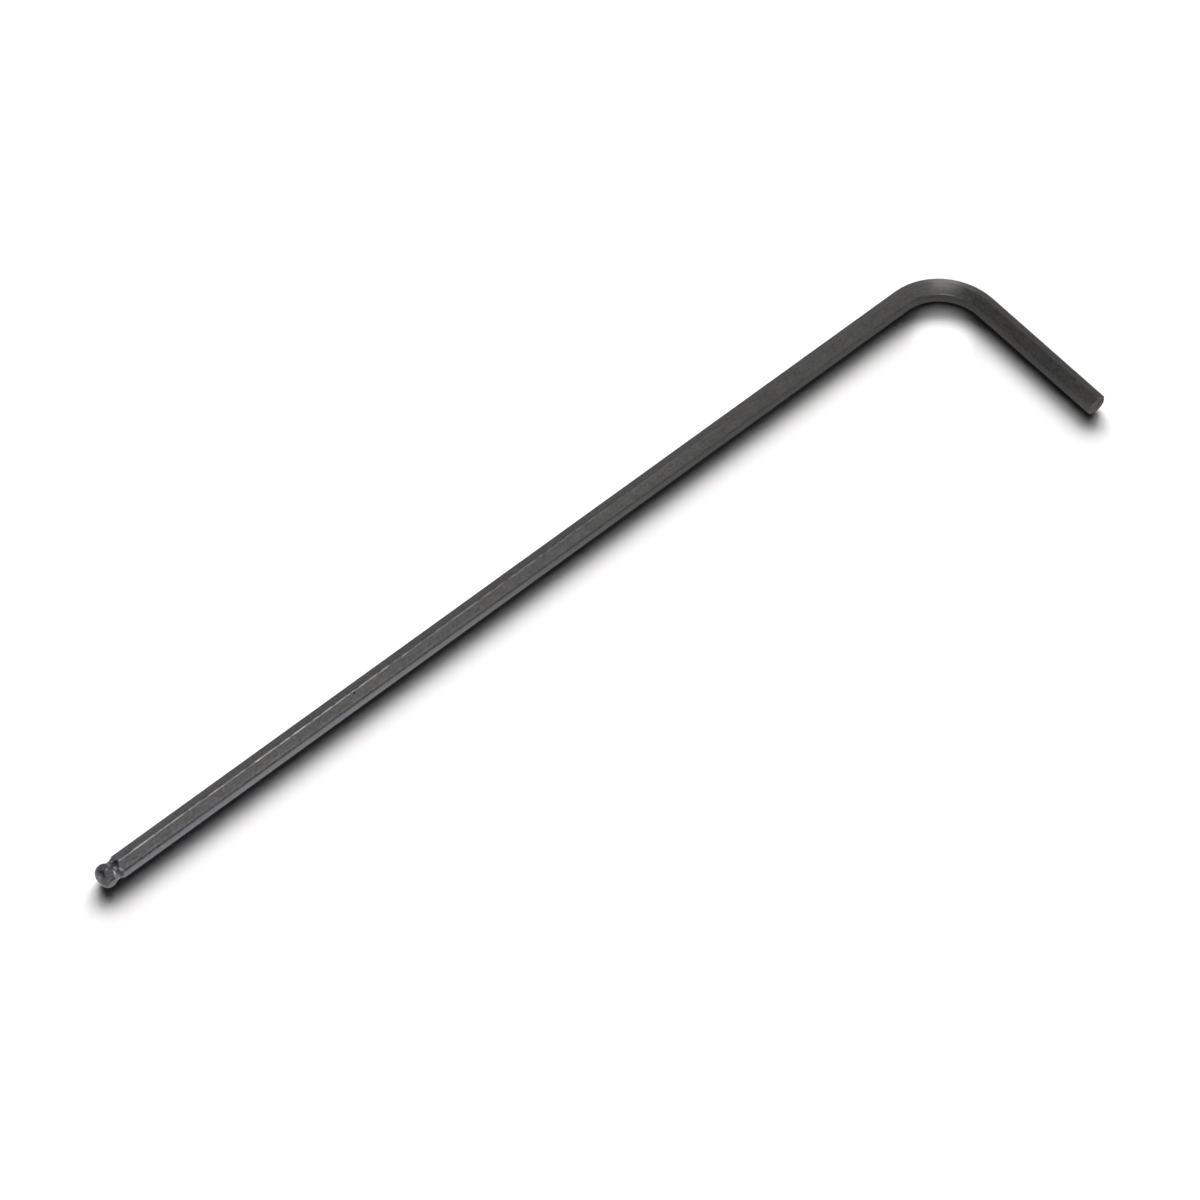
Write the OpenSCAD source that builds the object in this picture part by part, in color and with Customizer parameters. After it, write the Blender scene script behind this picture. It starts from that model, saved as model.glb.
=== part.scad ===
// Hex key with a ball end: one bar of hexagonal steel with a long arm, a bend and a short arm.
// It lies flat on z = 0, with the long arm along X and its ball at -X, the bend at +X, and the
// short arm running from the bend towards -Y. The origin is below the middle of its outer box.

/* [Hex bar] */
// Width of the bar across its flats, which is the size of the key
across_flats = 1.5; // [1.3:0.1:3]
// Radius of the bar's six rounded edges
edge_r = 0.165; // [0.06:0.005:0.22]

/* [Arms] */
// Overall length of the long arm, from the outside of the bend to the tip of the ball
long_reach = 80; // [60:1:120]
// Overall length of the short arm, from the outside of the bend to its end
short_reach = 16.6; // [14:0.2:30]
// Radius of the inner side of the bend
bend_inside = 3.6; // [2:0.1:6]

/* [Ball end] */
// Radius of the flat left on the tip of the ball
tip_flat = 0.23; // [0.15:0.01:0.3]
// Height that the ball's turned outline clears the bar's rounded edges by, at the middle of the ball
ball_over = 0.006; // [0.003:0.001:0.02]
// Depth that the neck is turned down below the bar's flats
neck_depth = 0.066; // [0.02:0.002:0.2]
// Radius of the neck's hollow outline
neck_curve = 0.65; // [0.5:0.01:1]

/* [Short end] */
// Width of the broken edge round the end face, inward from the bar's rounded edges
end_break = 0.17; // [0.1:0.01:0.3]
// Slope of the broken edge, away from the end face, in degrees
end_slope = 40; // [25:1:60]

/* [Hidden] */

// The bar's flats: how many, half the turn from one to the next, and their distance from the
// bar's centre line
flats = 6;
half_turn = 180 / flats;
flat_reach = across_flats / 2;

// The bar's rounded edges: the distance of their centres and of their crests from the centre
// line, and the width of flat that is left between two of them
edge_centre = (flat_reach - edge_r) / cos(half_turn);
edge_reach = edge_centre + edge_r;
flat_width = 2 * edge_centre * sin(half_turn);

// The bend: the radius of its centre line, and the straight length of each arm beyond it
bend_r = bend_inside + flat_reach;
long_straight = long_reach - flat_reach - bend_r;
short_straight = short_reach - flat_reach - bend_r;

// The ball: the radius of its outline, which is centred at the edge of the tip's flat. The bar's
// flats and a short length of its rounded edges are left across the middle of the ball
ball_r = edge_reach + ball_over - tip_flat;
ball_back = ball_r;

// The hollow behind the ball: its outline runs smoothly off the ball's outline, so the two
// centres are both radii apart, and the outlines touch on the line between them
neck_r = flat_reach - neck_depth;
hollow_reach = neck_r + neck_curve;
centres_apart = ball_r + neck_curve;
hollow_back = ball_back + sqrt(pow(centres_apart, 2) - pow(hollow_reach - tip_flat, 2));
touch_back = ball_back + (hollow_back - ball_back) * ball_r / centres_apart;

// The short arm's end: the radius of its end face, and the depth of the broken edge
end_face_r = edge_reach - end_break;
break_depth = end_break * tan(end_slope);

// Reach of the turned outlines where they clear the bar
clear_reach = across_flats;
$fn = 96;

// Section of the bar: a hexagon with rounded corners, a flat to each side and a corner on top
module bar_section() {
    for (turn = [0 : 2 * half_turn : 180 - half_turn])
        rotate(turn)
            square([across_flats, flat_width], center = true);
    for (turn = [0 : 2 * half_turn : 360 - half_turn])
        rotate(turn)
            translate([0, edge_centre])
                circle(r = edge_r);
}

// Half outline of the turned ball end, with the bar's centre line on Y and the tip at y = 0
module ball_end_outline(length) {
    intersection() {
        union() {
            translate([tip_flat, ball_back])
                circle(r = ball_r);
            square([tip_flat, touch_back]);
        }
        square([clear_reach, touch_back]);
    }
    difference() {
        translate([0, touch_back])
            square([hollow_reach, length - touch_back]);
        translate([hollow_reach, hollow_back])
            circle(r = neck_curve);
    }
}

// Half outline of the short arm's end, with the bar's centre line on Y and the end at y = 0
module plain_end_outline(length) {
    polygon([
        [0, 0],
        [end_face_r, 0],
        [edge_reach, break_depth],
        [clear_reach, break_depth],
        [clear_reach, length],
        [0, length]
    ]);
}

// Straight bar standing on its turned end, which the half outline given as a child trims
module turned_bar(length) {
    intersection() {
        linear_extrude(height = length)
            bar_section();
        rotate_extrude()
            children();
    }
}

// Quarter bend about Z, from the X axis to the Y axis
module bend() {
    rotate_extrude(angle = 90)
        translate([bend_r, 0])
            bar_section();
}

// The whole key in one piece, lying flat on one edge of its bar, made about the bend's centre
module hex_key() {
    color([0.16, 0.16, 0.165])
        translate([
            long_reach / 2 - flat_reach - bend_r,
            short_reach / 2 - flat_reach - bend_r,
            edge_reach
        ]) {
            bend();
            translate([-long_straight, bend_r, 0])
                rotate([90, 0, 90])
                    turned_bar(long_straight)
                        ball_end_outline(long_reach);
            translate([bend_r, -short_straight, 0])
                rotate([-90, 0, 0])
                    turned_bar(short_straight)
                        plain_end_outline(short_reach);
        }
}

hex_key();
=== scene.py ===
import math

import bmesh
import bpy
from mathutils import Matrix, Vector

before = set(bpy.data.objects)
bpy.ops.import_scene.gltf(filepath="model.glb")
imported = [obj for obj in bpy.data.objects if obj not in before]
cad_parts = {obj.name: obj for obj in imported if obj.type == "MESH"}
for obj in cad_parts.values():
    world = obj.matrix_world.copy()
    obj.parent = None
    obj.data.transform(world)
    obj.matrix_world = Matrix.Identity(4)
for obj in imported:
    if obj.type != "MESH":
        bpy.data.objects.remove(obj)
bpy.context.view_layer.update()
hex_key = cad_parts["hex_key"]
scene = bpy.context.scene
scene.view_settings.view_transform = "Standard"
MM = 0.001

# The key lies flat with one edge of its hexagonal bar up and one down.  These sizes are the
# ones of part.scad, in millimetres: the bar's centre line runs along X, turns round
# BEND_CENTRE and leaves towards -Y.
BEND_CENTRE = (34.9, 3.2)
BEND_RADIUS = 4.35
CENTRE_HEIGHT = 0.8405

# The photograph's viewpoint, above and in front of the ball end.
VIEW_PLACE = Vector((-0.128816, -0.116434, 0.270923))
VIEW_RIGHT = Vector((0.739056, -0.671115, 0.058384))
VIEW_UP = Vector((0.540975, 0.642915, 0.542222))
VIEW_BACK = Vector((-0.401428, -0.369151, 0.838203))

# The softboxes, which light only the key: name, azimuth, elevation and watts.  Angles are in
# degrees, and azimuth is as in ground_direction.
SOFTBOXES = (
    ("overhead_box", 0, 75, 0.95),
    ("front_box", 280, 32, 1.69),
    ("low_right_box", 20, 11, 1.72),
    ("high_right_box", 340, 45, 0.16),
    ("low_back_box", 80, 11, 0.29),
    ("back_box", 100, 20, 0.27),
    ("left_box", 140, 20, 0.94),
)
SOFTBOX_SIZE, SOFTBOX_DISTANCE = 0.2, 0.6

# The lamps that light only the table: name, azimuth, elevation, spread, and the brightness
# that each gives the table, where 1 is white.
TABLE_LIGHTS = (
    ("right_table_light", 67.8, 29.5, 36.7, 0.26),
    ("middle_table_light", 92.8, 29.5, 36.7, 0.35),
    ("left_table_light", 117.8, 29.5, 36.7, 0.26),
    ("wide_table_light", 95.9, 31.9, 52.1, 0.28),
)
TABLE_LIGHT_TINT = (1.0, 0.987, 0.985)
ROOM_LEVEL = 0.015

# The white table.  The steel mirrors it at the first of the two levels beside the ball end
# and at the second beside the bend, and it changes between these two places along X.
PAPER_WHITE = 0.9
TABLE_RADIUS, TABLE_RIM = 2.4, 0.5
MIRRORED_LEVELS = (1.0, 0.38)
MIRRORED_CHANGE = (-0.02, 0.02)

# The black oxide's tints, and the steel under it, whose colour also serves for painted
# highlights.
BLUISH = (0.985, 0.955, 1.06, 1.0)
PLAIN = (1.0, 0.985, 0.985, 1.0)
WARM = (1.025, 0.985, 0.935, 1.0)
COOL = (0.975, 0.985, 0.97, 1.0)
BARE_STEEL_AND_HIGHLIGHT = (0.34, 0.32, 0.29, 1.0)
METALLIC = 0.8
BUMP_STRENGTH, BUMP_DEPTH = 0.4, 0.04 * MM


# --- camera ---------------------------------------------------------------------------------

def photo_camera():
    """The photograph's camera, with a long lens."""
    data = bpy.data.cameras.new("bench_camera")
    data.sensor_width = 36.0
    data.lens = 138.826
    data.clip_start, data.clip_end = 0.01, 20.0
    camera = bpy.data.objects.new("bench_camera", data)
    turn = Matrix((VIEW_RIGHT, VIEW_UP, VIEW_BACK)).transposed().to_4x4()
    camera.matrix_world = Matrix.Translation(VIEW_PLACE) @ turn
    scene.collection.objects.link(camera)
    scene.camera = camera


# --- a short way to write node materials ----------------------------------------------------

class Recipe:
    """A material, or the world, written one node at a time."""

    def __init__(self, owner):
        owner.use_nodes = True
        self.tree = owner.node_tree
        self.tree.nodes.clear()

    def feed(self, socket, value):
        """Links the socket to another node's output, or sets it to a fixed value."""
        if isinstance(value, bpy.types.NodeSocket):
            self.tree.links.new(value, socket)
        else:
            socket.default_value = value

    def node(self, kind, settings=None, **sockets):
        made = self.tree.nodes.new(kind)
        for name, value in (settings or {}).items():
            setattr(made, name, value)
        for name, value in sockets.items():
            self.feed(made.inputs[name.replace("_", " ")], value)
        return made

    def maths(self, operation, *values):
        made = self.node("ShaderNodeMath", {"operation": operation})
        for socket, value in zip(made.inputs, values):
            self.feed(socket, value)
        return made.outputs[0]

    def chain(self, operation, result, *others):
        """The operation on the first two values, then on its result and the next value."""
        for value in others:
            result = self.maths(operation, result, value)
        return result

    def plus(self, *values):
        return self.chain("ADD", *values)

    def minus(self, *values):
        return self.chain("SUBTRACT", *values)

    def times(self, *values):
        return self.chain("MULTIPLY", *values)

    def largest(self, *values):
        return self.chain("MAXIMUM", *values)

    def distance(self, first, second):
        """How far off a point is that is first off one way and second off the other way."""
        return self.maths("SQRT", self.plus(self.times(first, first),
                                            self.times(second, second)))

    def ramp(self, value, at, gives=(0.0, 1.0), smooth=True):
        """Goes through gives as the value goes through at, and stays at its ends beyond."""
        made = self.node("ShaderNodeMapRange", {
            "clamp": True, "interpolation_type": "SMOOTHSTEP" if smooth else "LINEAR"})
        for socket, given in zip(made.inputs, (value, *at, *gives)):
            self.feed(socket, given)
        return made.outputs[0]

    def band(self, value, start, full, fading, end):
        """Rises from 0 to 1 between the first two places, and falls between the last two."""
        return self.times(self.ramp(value, at=(start, full)),
                          self.ramp(value, at=(end, fading)))

    def noise(self, vector, waves, detail, roughness, shift=0.0):
        """An uneven pattern with so many waves in a millimetre, along the bar and across.
        The shift keeps one pattern from following another."""
        along, across = waves
        mapping = self.node("ShaderNodeMapping", Vector=vector,
                            Location=(shift, shift * 0.7, -shift),
                            Scale=(along, across, across))
        made = self.node("ShaderNodeTexNoise", {"noise_dimensions": "3D"},
                         Vector=mapping.outputs[0], Scale=1.0, Detail=detail,
                         Roughness=roughness)
        return made.outputs["Fac"]

    def spot(self, vector, centre, radius):
        """1 within three tenths of the radius, falling to 0 at the radius."""
        made = self.node("ShaderNodeVectorMath", {"operation": "DISTANCE"})
        self.feed(made.inputs[0], vector)
        self.feed(made.inputs[1], centre)
        return self.ramp(made.outputs["Value"], at=(radius, 0.3 * radius))

    def blend_colour(self, share, first, second):
        """The Mix node has its two colours at 6 and 7, and gives the colour at 2."""
        made = self.node("ShaderNodeMix", {"data_type": "RGBA", "clamp_factor": True})
        for number, value in ((0, share), (6, first), (7, second)):
            self.feed(made.inputs[number], value)
        return made.outputs[2]


# --- the stage ------------------------------------------------------------------------------

def white_paper():
    """Matt white.  Steel mirrors it without the key's own shadow, bright beside the ball end
    and dimmer beside the bend, as the table was in the photograph.  It sends no light back
    on to itself, so the shadow is darkest where the key lies on it."""
    paper = bpy.data.materials.new("white_paper")
    recipe = Recipe(paper)
    matt = recipe.node("ShaderNodeBsdfDiffuse", Color=(PAPER_WHITE,) * 3 + (1.0,))
    place = recipe.node("ShaderNodeTexCoord").outputs["Object"]
    along = recipe.node("ShaderNodeSeparateXYZ", Vector=place).outputs[0]
    bright = recipe.ramp(along, at=MIRRORED_CHANGE, gives=MIRRORED_LEVELS)
    ray = recipe.node("ShaderNodeLightPath").outputs
    mirrored = recipe.largest(ray["Is Glossy Ray"], ray["Is Transmission Ray"])
    no_matt_bounce = recipe.maths("LESS_THAN", ray["Diffuse Depth"], 0.5)
    seen = recipe.node("ShaderNodeEmission", Color=(1, 1, 1, 1),
                       Strength=recipe.times(bright, mirrored, no_matt_bounce))
    not_camera = recipe.largest(mirrored, ray["Is Diffuse Ray"])
    both = recipe.node("ShaderNodeMixShader", Fac=not_camera)
    recipe.feed(both.inputs[1], matt.outputs[0])
    recipe.feed(both.inputs[2], seen.outputs[0])
    recipe.node("ShaderNodeOutputMaterial", Surface=both.outputs[0])
    return paper


def white_sweep():
    """A round white table whose rim turns up, all of it far larger than the key."""
    mesh = bpy.data.meshes.new("white_sweep")
    shape = bmesh.new()
    bmesh.ops.create_circle(shape, cap_ends=True, segments=96, radius=TABLE_RADIUS)
    rim = [edge for edge in shape.edges if edge.is_boundary]
    raised = bmesh.ops.extrude_edge_only(shape, edges=rim)["geom"]
    top = [item for item in raised if isinstance(item, bmesh.types.BMVert)]
    bmesh.ops.translate(shape, verts=top, vec=(0, 0, TABLE_RIM))
    bmesh.ops.recalc_face_normals(shape, faces=shape.faces)
    shape.to_mesh(mesh)
    shape.free()
    sweep = bpy.data.objects.new("white_sweep", mesh)
    scene.collection.objects.link(sweep)
    mesh.materials.append(white_paper())
    return sweep


def ground_direction(azimuth, elevation):
    """A direction from the key.  Azimuth 0 is the camera's right, 90 is up in the picture."""
    right = Vector((VIEW_RIGHT.x, VIEW_RIGHT.y, 0)).normalized()
    away = Vector((-VIEW_BACK.x, -VIEW_BACK.y, 0)).normalized()
    turn, rise = math.radians(azimuth), math.radians(elevation)
    level = right * math.cos(turn) + away * math.sin(turn)
    return level * math.cos(rise) + Vector((0, 0, math.sin(rise)))


def hang_lamp(data, azimuth, elevation, lit, distance=0.0, target=(0, 0, 0)):
    """Hangs a lamp in a direction from the target, which it faces.  It lights only one
    object, though everything still casts its shadow."""
    lamp = bpy.data.objects.new(data.name, data)
    towards = ground_direction(azimuth, elevation)
    turn = (-towards).to_track_quat("-Z", "Y").to_matrix().to_4x4()
    lamp.matrix_world = Matrix.Translation(Vector(target) + towards * distance) @ turn
    scene.collection.objects.link(lamp)
    receivers = bpy.data.collections.new(data.name + "_lights")
    receivers.objects.link(lit)
    lamp.light_linking.receiver_collection = receivers


def softbox(name, azimuth, elevation, watts, lit):
    data = bpy.data.lights.new(name, "AREA")
    data.shape, data.size, data.energy = "SQUARE", SOFTBOX_SIZE, watts
    hang_lamp(data, azimuth, elevation, lit, SOFTBOX_DISTANCE)


def table_light(name, azimuth, elevation, spread, level, sweep):
    """Far soft light, which throws the key's shadow down the picture."""
    data = bpy.data.lights.new(name, "SUN")
    data.color = TABLE_LIGHT_TINT
    data.angle = math.radians(spread)
    data.energy = level * math.pi / (PAPER_WHITE * math.sin(math.radians(elevation)))
    hang_lamp(data, azimuth, elevation, sweep)


def bend_light(sweep):
    """Narrow light from above on the table inside the bend, which eases the shadow there."""
    watts, lamp_radius, beam = 1.35, 0.5 * MM, math.radians(1.07)
    inside_bend = Vector((BEND_CENTRE[0] + 0.66, BEND_CENTRE[1] + 0.61, 0)) * MM
    data = bpy.data.lights.new("bend_light", "SPOT")
    data.energy, data.shadow_soft_size = watts, lamp_radius
    data.spot_size, data.spot_blend = beam, 1.0
    hang_lamp(data, azimuth=270, elevation=80, lit=sweep, distance=0.3, target=inside_bend)


def studio(sweep, key):
    for box in SOFTBOXES:
        softbox(*box, key)
    for light in TABLE_LIGHTS:
        table_light(*light, sweep)
    bend_light(sweep)
    room = bpy.data.worlds.new("room")
    scene.world = room
    recipe = Recipe(room)
    shade = recipe.node("ShaderNodeBackground", Color=(1, 1, 1, 1), Strength=ROOM_LEVEL)
    recipe.node("ShaderNodeOutputWorld", Surface=shade.outputs[0])


# --- black oxide on drawn steel -------------------------------------------------------------

class PlaceOnBar:
    """Where a point is on the bar, in millimetres: how far along it from the bend's start,
    the ball end being negative, and how far out, up and in all from its centre line."""

    def __init__(self, recipe):
        point = recipe.node("ShaderNodeTexCoord").outputs["Object"]
        split = recipe.node("ShaderNodeSeparateXYZ", Vector=point).outputs
        x = recipe.maths("MULTIPLY_ADD", split[0], 1 / MM, -BEND_CENTRE[0])
        y = recipe.maths("MULTIPLY_ADD", split[1], 1 / MM, -BEND_CENTRE[1])
        x_past, y_past = recipe.largest(x, 0.0), recipe.largest(y, 0.0)
        turned = recipe.times(recipe.maths("ARCTAN2", x_past, y_past), BEND_RADIUS)
        self.along = recipe.plus(recipe.maths("MINIMUM", x, 0.0),
                                 recipe.minus(turned, recipe.maths("MINIMUM", y, 0.0)))
        self.out = recipe.minus(recipe.distance(x_past, y_past), BEND_RADIUS)
        self.up = recipe.maths("MULTIPLY_ADD", split[2], 1 / MM, -CENTRE_HEIGHT)
        self.reach = recipe.distance(self.out, self.up)
        self.place = recipe.node("ShaderNodeCombineXYZ",
                                 X=self.along, Y=self.out, Z=self.up).outputs[0]


class PartsOfBar:
    """Parts of the hexagon.  Each value is 1 there and 0 elsewhere."""

    def __init__(self, recipe, bar):
        self.high = recipe.ramp(bar.up, at=(0.38, 0.46))
        self.inner_top = recipe.times(recipe.ramp(bar.out, at=(-0.02, -0.1)), self.high)
        self.outer_top = recipe.times(recipe.ramp(bar.out, at=(0.02, 0.1)), self.high)
        self.inner_side = recipe.ramp(bar.out, at=(-0.69, -0.73))
        self.crest = recipe.ramp(bar.reach, at=(0.785, 0.825))
        self.top = recipe.ramp(bar.up, at=(0.62, 0.7))
        self.outermost = recipe.ramp(bar.out, at=(0.45, 0.6))


class FinishPatterns:
    """Fine grain, mottling, lines from drawing, ragged wear and patches of tint."""

    def __init__(self, recipe, bar):
        self.grain = recipe.noise(bar.place, (4.0, 8.0), detail=2.0, roughness=0.6)
        self.mottle = recipe.noise(bar.place, (0.9, 2.2), 3.0, 0.55, shift=3.0)
        self.drawn = recipe.noise(bar.place, (0.35, 16.0), 2.0, 0.6, shift=7.0)
        self.ragged = recipe.noise(bar.place, (1.6, 4.0), 3.0, 0.7, shift=11.0)
        self.patches = recipe.noise(bar.place, (0.45, 0.8), 2.0, 0.5, shift=19.0)


def painted_light_and_marks(recipe, bar, parts):
    """How light the oxide is painted, where 1 is plain: mostly painted light and shade,
    besides a pit and a nick that are real marks.
    The values of a row are multiplied, and the rows are added up."""
    on_neck = recipe.ramp(bar.reach, at=(0.77, 0.75))
    rows = (
        # painted shade: the outer top side is darker near the ball end, and again on the
        # short arm
        (parts.outer_top, recipe.plus(
            recipe.ramp(bar.along, at=(-70.0, -2.0), gives=(-0.27, 0.0)),
            recipe.ramp(bar.along, at=(3.0, 8.0), gives=(0.0, -0.25)))),
        # painted shade: the inner top side is darker before the bend
        (parts.inner_top, recipe.ramp(bar.along, at=(-28.0, -14.0), gives=(0.0, -0.15)),
         recipe.ramp(bar.along, at=(0.0, 5.0), gives=(1.0, 0.0))),
        # painted reflection of the white table: the inner side is paler, most of all at its
        # foot
        (parts.inner_side, recipe.ramp(bar.up, at=(0.35, -0.35), gives=(0.1, 0.34))),
        # painted shade: the crests are darker, but for the top one and the outermost
        (parts.crest, recipe.minus(1.0, parts.outermost), recipe.minus(1.0, parts.top),
         recipe.ramp(bar.along, at=(-40.0, -5.0), gives=(-0.26, -0.06))),
        # painted shade: a dark line runs beside the top crest; painted highlight: a pale one
        # above the inner crest
        (recipe.band(bar.out, 0.05, 0.1, 0.16, 0.26), parts.top,
         recipe.ramp(bar.along, at=(-40.0, -10.0), gives=(-0.1, 0.0))),
        (recipe.band(bar.out, -0.7, -0.66, -0.58, -0.5), parts.high,
         recipe.ramp(bar.along, at=(-50.0, -22.0), gives=(0.26, 0.0))),
        # painted shade where the turned neck rises to the bar, and a painted highlight on its
        # ball side
        (on_neck, recipe.band(bar.along, -73.68, -73.56, -73.4, -73.3), -0.4),
        (on_neck, recipe.band(bar.along, -74.02, -73.9, -73.72, -73.62), 0.35),
        # painted shade: the ball is darker than the bar, but for its round front, which has
        # painted light
        (recipe.ramp(bar.along, at=(-73.9, -74.1)), -0.22),
        (recipe.spot(bar.place, (-74.8, 0.0, 0.54), 0.34), 0.5),
        # a pit beside the top crest, and a nick in the inner side
        (recipe.spot(bar.place, (-52.7, -0.12, 0.74), 0.16), -0.65),
        (recipe.spot(bar.place, (-70.2, -0.75, -0.02), 0.14), -0.5),
        # painted light: the inner sides are paler near the short arm's end
        (recipe.ramp(bar.along, at=(15.0, 18.3)), recipe.ramp(bar.out, at=(0.1, -0.6)), 0.4),
    )
    return recipe.plus(1.0, *(recipe.times(*row) for row in rows))


def oxide_colour_with_painted_light(recipe, bar, parts, finish):
    """Coarser and bluish near the ball end, and lighter there as painted light, and smoother
    beyond, warm or cool in patches.
    The painted light and shade and the marks are multiplied in."""
    toward_ball_end = recipe.ramp(bar.along, at=(-75.0, 8.0), gives=(1.0, 0.0), smooth=False)
    far_tint = recipe.blend_colour(recipe.ramp(finish.patches, at=(0.4, 0.6)), WARM, COOL)
    near_tint = recipe.blend_colour(parts.inner_top, BLUISH, PLAIN)
    coarse = recipe.ramp(toward_ball_end, at=(0.2, 0.8), gives=(0.1, 0.14))
    # painted light: the tone is lighter towards the ball end, with the oxide's grain and
    # mottling on it
    tone = recipe.plus(
        recipe.ramp(toward_ball_end, at=(0.0, 1.0), gives=(0.102, 0.12), smooth=False),
        recipe.times(recipe.minus(finish.grain, 0.5), coarse),
        recipe.ramp(finish.mottle, at=(0.25, 0.75), gives=(-0.013, 0.013), smooth=False))
    oxide = recipe.node("ShaderNodeVectorMath", {"operation": "SCALE"},
                        Scale=recipe.times(tone, painted_light_and_marks(recipe, bar, parts)))
    recipe.feed(oxide.inputs[0], recipe.blend_colour(toward_ball_end, far_tint, near_tint))
    return oxide.outputs[0]


def bare_steel_and_painted_highlights(recipe, bar, parts, finish):
    """1 where the steel is bare and where a highlight is painted, and 0 elsewhere on the
    oxide.
    """
    ragged_edge = recipe.ramp(finish.ragged, at=(0.3, 0.7), gives=(-0.008, 0.008),
                              smooth=False)
    # partly real ragged wear and partly a painted highlight along the top crest towards the
    # ball end
    top_line = recipe.times(
        recipe.ramp(recipe.plus(bar.up, ragged_edge), at=(0.825, 0.835)),
        recipe.ramp(bar.along, at=(-56.0, -12.0), gives=(0.9, 0.0)),
        recipe.ramp(finish.ragged, at=(0.38, 0.54), gives=(0.15, 1.0)))
    # painted highlight along the outermost crest of the bend and the short arm
    outer_line = recipe.times(
        parts.crest, parts.outermost,
        recipe.ramp(bar.along, at=(-1.0, 3.0), gives=(0.0, 0.9)))
    # partly rubbed steel and partly a painted highlight on the outside of the bend
    bend_patch = recipe.times(
        recipe.band(bar.along, 1.8, 3.2, 3.6, 5.2),
        recipe.ramp(bar.out, at=(-0.75, 0.1), gives=(0.0, 0.6)),
        recipe.ramp(finish.drawn, at=(0.3, 0.7), gives=(0.7, 1.1)))
    beside_pit = recipe.spot(bar.place, (-53.05, 0.0, 0.82), 0.1)
    above_nick = recipe.times(recipe.spot(bar.place, (-70.1, -0.75, 0.2), 0.13), 0.5)
    # painted highlight round the lower rim of the short arm's end
    short_end_rim = recipe.times(
        recipe.ramp(bar.along, at=(18.22, 18.28)),
        recipe.ramp(bar.reach, at=(0.66, 0.76), gives=(0.12, 1.0)),
        recipe.ramp(bar.up, at=(0.25, -0.15), gives=(0.15, 1.0)))
    return recipe.largest(top_line, outer_line, bend_patch, beside_pit, above_nick,
                          short_end_rim)


def black_oxide_steel():
    steel = bpy.data.materials.new("black_oxide_steel")
    recipe = Recipe(steel)
    bar = PlaceOnBar(recipe)
    parts = PartsOfBar(recipe, bar)
    finish = FinishPatterns(recipe, bar)
    colour = recipe.blend_colour(bare_steel_and_painted_highlights(recipe, bar, parts, finish),
                                 oxide_colour_with_painted_light(recipe, bar, parts, finish), BARE_STEEL_AND_HIGHLIGHT)
    roughness = recipe.plus(
        recipe.ramp(bar.along, at=(-62.0, -5.0), gives=(0.36, 0.48)),
        recipe.ramp(finish.grain, at=(0.2, 0.8), gives=(-0.09, 0.09), smooth=False),
        recipe.ramp(finish.drawn, at=(0.3, 0.7), gives=(-0.03, 0.03), smooth=False))
    height = recipe.plus(recipe.times(finish.grain, 0.7), recipe.times(finish.drawn, 0.3))
    bump = recipe.node("ShaderNodeBump", Strength=BUMP_STRENGTH, Distance=BUMP_DEPTH,
                       Height=height)
    shader = recipe.node("ShaderNodeBsdfPrincipled", Base_Color=colour, Metallic=METALLIC,
                         Roughness=roughness, Normal=bump.outputs[0])
    recipe.node("ShaderNodeOutputMaterial", Surface=shader.outputs[0])
    return steel


photo_camera()
sweep = white_sweep()
studio(sweep, hex_key)
hex_key.data.materials[0] = black_oxide_steel()
